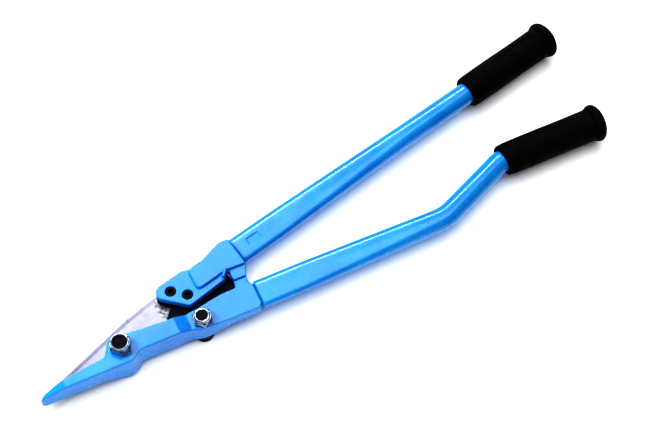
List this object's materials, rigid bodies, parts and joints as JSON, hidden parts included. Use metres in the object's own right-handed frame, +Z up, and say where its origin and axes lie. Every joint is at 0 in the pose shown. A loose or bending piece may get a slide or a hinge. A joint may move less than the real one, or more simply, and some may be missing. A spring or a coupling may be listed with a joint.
{
  "type": "steel strap shear",
  "caption": "Long-handled compound-lever shear for steel strap: pointed jaw, pivoting blade driven by an upper lever, tubular handles and rubber grips.",
  "frame": {"origin": "bottom centre of the whole tool as it lies on its side with the nuts up", "axes": "+X along the lower handle from jaw to grips, +Y away from the sole towards the upper handle, +Z up out of the nut side"},
  "size_m": [0.6156, 0.1788, 0.05],
  "materials": {
    "blue_enamel": "gloss enamel over a casting",
    "blue_enamel_tube": "gloss enamel over steel tube",
    "blade_steel": "ground",
    "black_oxide": "oiled black oxide",
    "plated_steel": "bright zinc plate",
    "black_nylon": "moulded nylon",
    "bronze": "turned bronze",
    "grip_rubber": "matt moulded rubber"
  },
  "bodies": {
    "lower_arm": {"lower_jaw": "blue_enamel", "fixed_blade": "blade_steel", "fixed_blade_screws": "black_oxide", "blade_pivot_bolt": "black_oxide", "blade_pivot_nut": "plated_steel", "blade_pivot_nut_insert": "black_nylon", "blade_thrust_washer": "bronze", "lever_pivot_bolt": "black_oxide", "lever_pivot_nut": "plated_steel", "lever_pivot_nut_insert": "black_nylon", "lever_pivot_spacer": "bronze", "lower_handle_tube": "blue_enamel_tube", "lower_handle_pin": "black_oxide", "lower_grip": "grip_rubber"},
    "upper_lever": {"upper_head": "blue_enamel", "drive_plate": "black_oxide", "lever_bush": "bronze", "drive_plate_screws": "black_oxide", "drive_pin": "blade_steel", "upper_handle_tube": "blue_enamel_tube", "upper_handle_pin": "black_oxide", "upper_grip": "grip_rubber"},
    "blade": {"moving_blade": "blade_steel", "blade_bush": "bronze"}
  },
  "joints": [
    {"name": "lever_pivot", "type": "hinge", "parent": "lower_arm", "child": "upper_lever", "pos_m": [-0.14114, -0.07591, 0.0245], "axis": [0, 0, 1], "range_deg": [0, 34]},
    {"name": "blade_pivot", "type": "hinge", "parent": "lower_arm", "child": "blade", "pos_m": [-0.22164, -0.07191, 0.0192], "axis": [0, 0, 1], "range_deg": [-11.3, 0]}
  ],
  "couplings": [
    {"joint": "blade_pivot", "follows": "lever_pivot", "ratio": -0.33}
  ]
}
